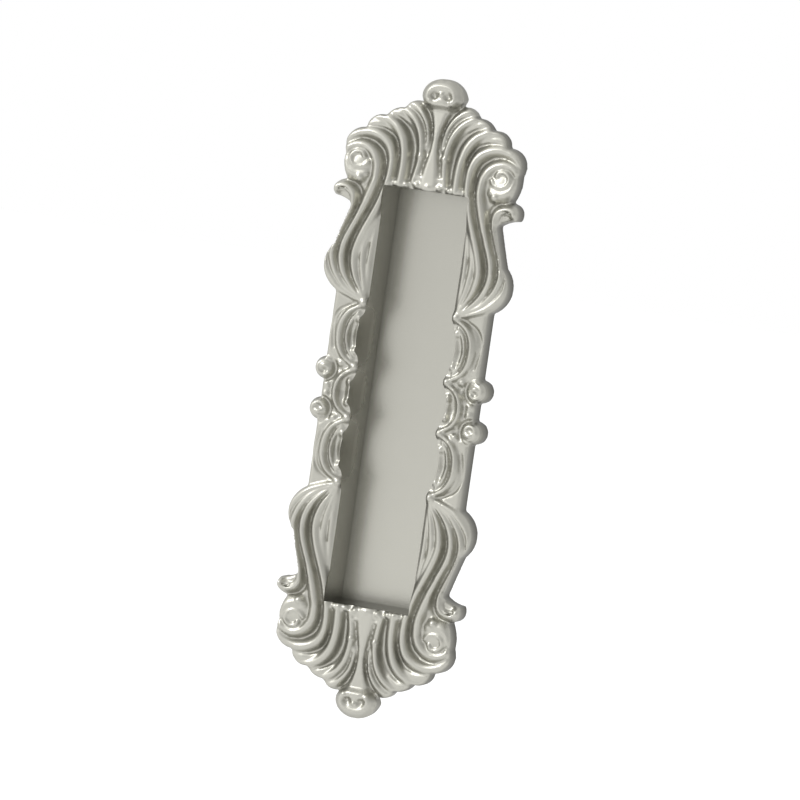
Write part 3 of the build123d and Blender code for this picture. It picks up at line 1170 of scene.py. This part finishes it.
@dataclass
class Studio:
    """Floor, world and lamp of a plain white studio.

    Attributes:
        floor_drop: Distance from the pull's middle down to the floor.
        floor_size: Width of the floor.
        bright: Level of the tent of light on its bright side.
        dim: Level on its dim side.
        bright_side: Where the tent is brightest, across from left to right.
        dim_side: Where it is dimmest.
        low: Share of its level that the tent keeps low down.
        high: The same high up.
        low_end: Where its low part ends, from below to above.
        high_start: Where its high part starts.
        front_end: Where the tent's front ends, from front to back.
        back_start: Where the plain white behind the pull starts.
        lamp_place: Where the lamp stands.
        lamp_size: Width of the lamp.
        lamp_power: Its power in watts.
        finish: Finish of the floor.
    """

    floor_drop: float = 0.16
    floor_size: float = 8.0
    bright: float = 1.25
    dim: float = 0.7
    bright_side: float = -0.85
    dim_side: float = 0.6
    low: float = 0.92
    high: float = 1.3
    low_end: float = -0.15
    high_start: float = 0.6
    front_end: float = 0.1
    back_start: float = 0.5
    lamp_place: Vector = field(default_factory=lambda: Vector((-0.8, -0.8, 0.9)))
    lamp_size: float = 0.4
    lamp_power: float = 9.5
    finish: StudioWhite = field(default_factory=StudioWhite)

    def build(self) -> None:
        """Builds the floor, the world and the lamp."""
        self.build_floor()
        self.build_world()
        self.build_lamp()

    def build_floor(self) -> None:
        """Builds the floor."""
        shape = bmesh.new()
        bmesh.ops.create_grid(shape, x_segments=1, y_segments=1, size=self.floor_size / 2)
        bmesh.ops.translate(shape, verts=shape.verts, vec=(0.0, 0.0, -self.floor_drop))
        mesh = bpy.data.meshes.new("floor")
        shape.to_mesh(mesh)
        shape.free()
        floor = bpy.data.objects.new("floor", mesh)
        floor.data.materials.append(self.finish.build())
        bpy.context.scene.collection.objects.link(floor)
        floor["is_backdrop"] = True

    def build_world(self) -> None:
        """Makes a soft tent of light, brighter on the left, that the camera sees as plain white.

        Behind the pull the tent is the same plain white for every ray, so that the metal shows that
        background too.
        """
        world = bpy.data.worlds.new("studio")
        world.use_nodes = True
        tree = world.node_tree
        tent = tree.nodes["Background"]
        tent.inputs["Color"].default_value = (1.0, 1.0, 1.0, 1.0)
        place = tree.nodes.new("ShaderNodeTexCoord")
        axes = tree.nodes.new("ShaderNodeSeparateXYZ")
        tree.links.new(place.outputs["Generated"], axes.inputs["Vector"])
        sides = (self.bright_side, self.dim_side)
        level = self.add_ramp(tree, axes.outputs["X"], sides, (self.bright, self.dim))
        heights = (self.low_end, self.high_start)
        above = self.add_ramp(tree, axes.outputs["Z"], heights, (self.low, self.high))
        both = tree.nodes.new("ShaderNodeMath")
        both.operation = "MULTIPLY"
        tree.links.new(level, both.inputs[0])
        tree.links.new(above, both.inputs[1])
        behind = self.add_ramp(tree, axes.outputs["Y"], (self.front_end, self.back_start), (0.0, 1.0))
        blend = tree.nodes.new("ShaderNodeMix")
        blend.inputs["B"].default_value = 1.0
        tree.links.new(behind, blend.inputs["Factor"])
        tree.links.new(both.outputs["Value"], blend.inputs["A"])
        tree.links.new(blend.outputs["Result"], tent.inputs["Strength"])
        white = tree.nodes.new("ShaderNodeBackground")
        white.inputs["Color"].default_value = (1.0, 1.0, 1.0, 1.0)
        path = tree.nodes.new("ShaderNodeLightPath")
        mix = tree.nodes.new("ShaderNodeMixShader")
        tree.links.new(path.outputs[Ray.CAMERA.value], mix.inputs["Fac"])
        tree.links.new(tent.outputs["Background"], mix.inputs[1])
        tree.links.new(white.outputs["Background"], mix.inputs[2])
        tree.links.new(mix.outputs["Shader"], tree.nodes["World Output"].inputs["Surface"])
        bpy.context.scene.world = world

    def add_ramp(
        self,
        tree: bpy.types.NodeTree,
        value: bpy.types.NodeSocket,
        ends: tuple[float, float],
        levels: tuple[float, float],
    ) -> bpy.types.NodeSocket:
        """Adds a soft change from one level to another.

        Args:
            tree: Node tree to add to.
            value: Socket that drives the change.
            ends: Where the change starts and ends.
            levels: Level at its start and its end.

        Returns:
            Socket with the level.
        """
        ramp = tree.nodes.new("ShaderNodeMapRange")
        ramp.interpolation_type = "SMOOTHSTEP"
        ramp.inputs["From Min"].default_value = ends[0]
        ramp.inputs["From Max"].default_value = ends[1]
        ramp.inputs["To Min"].default_value = levels[0]
        ramp.inputs["To Max"].default_value = levels[1]
        tree.links.new(value, ramp.inputs["Value"])
        return ramp.outputs["Result"]

    def build_lamp(self) -> None:
        """Adds a square soft lamp that faces the pull."""
        lamp = bpy.data.lights.new("key", "AREA")
        lamp.size = self.lamp_size
        lamp.energy = self.lamp_power
        holder = bpy.data.objects.new("key", lamp)
        holder.location = self.lamp_place
        holder.rotation_euler = (-self.lamp_place).to_track_quat("-Z", "Y").to_euler()
        bpy.context.scene.collection.objects.link(holder)


@dataclass
class PhotoCamera:
    """Camera that sees the pull as the photograph does.

    Attributes:
        yaw: Angle round to the pull's right, in degrees.
        pitch: Angle above it, in degrees.
        lean: How far the pull leans to the right in the picture, in degrees.
        distance: Distance to the pull.
        view_width: Width of the picture at the pull.
        aim: Point of the pull at the middle of the picture.
    """

    yaw: float = 17.06
    pitch: float = 3.97
    lean: float = 8.23
    distance: float = 1.5
    view_width: float = 220.1 * MM
    aim: Vector = field(default_factory=lambda: Vector((0.0, -4.0 * MM, 0.0)))

    def build(self) -> None:
        """Adds the camera and makes it the scene's own."""
        data = bpy.data.cameras.new("photo_camera")
        data.lens = data.sensor_width * self.distance / self.view_width
        camera = bpy.data.objects.new("photo_camera", data)
        yaw, pitch = math.radians(self.yaw), math.radians(self.pitch)
        level = math.cos(pitch)
        back = Vector((math.sin(yaw) * level, -math.cos(yaw) * level, math.sin(pitch)))
        turn = (-back).to_track_quat("-Z", "Y").to_matrix().to_4x4()
        lean = Matrix.Rotation(math.radians(self.lean), 4, "Z")
        camera.matrix_world = Matrix.Translation(self.aim + back * self.distance) @ turn @ lean
        bpy.context.scene.collection.objects.link(camera)
        bpy.context.scene.camera = camera


def main() -> None:
    """Builds the casting, the studio and the camera."""
    logging.basicConfig(level=logging.INFO, format="%(name)s: %(message)s")
    bpy.context.scene.view_settings.view_transform = "Standard"
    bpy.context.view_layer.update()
    casting = Casting().build()
    log.info("casting: %d faces", len(casting.data.polygons))
    Studio().build()
    log.info("studio: floor, world and lamp")
    PhotoCamera().build()
    log.info("camera: set to the photograph's angle")


if __name__ == "__main__":
    main()
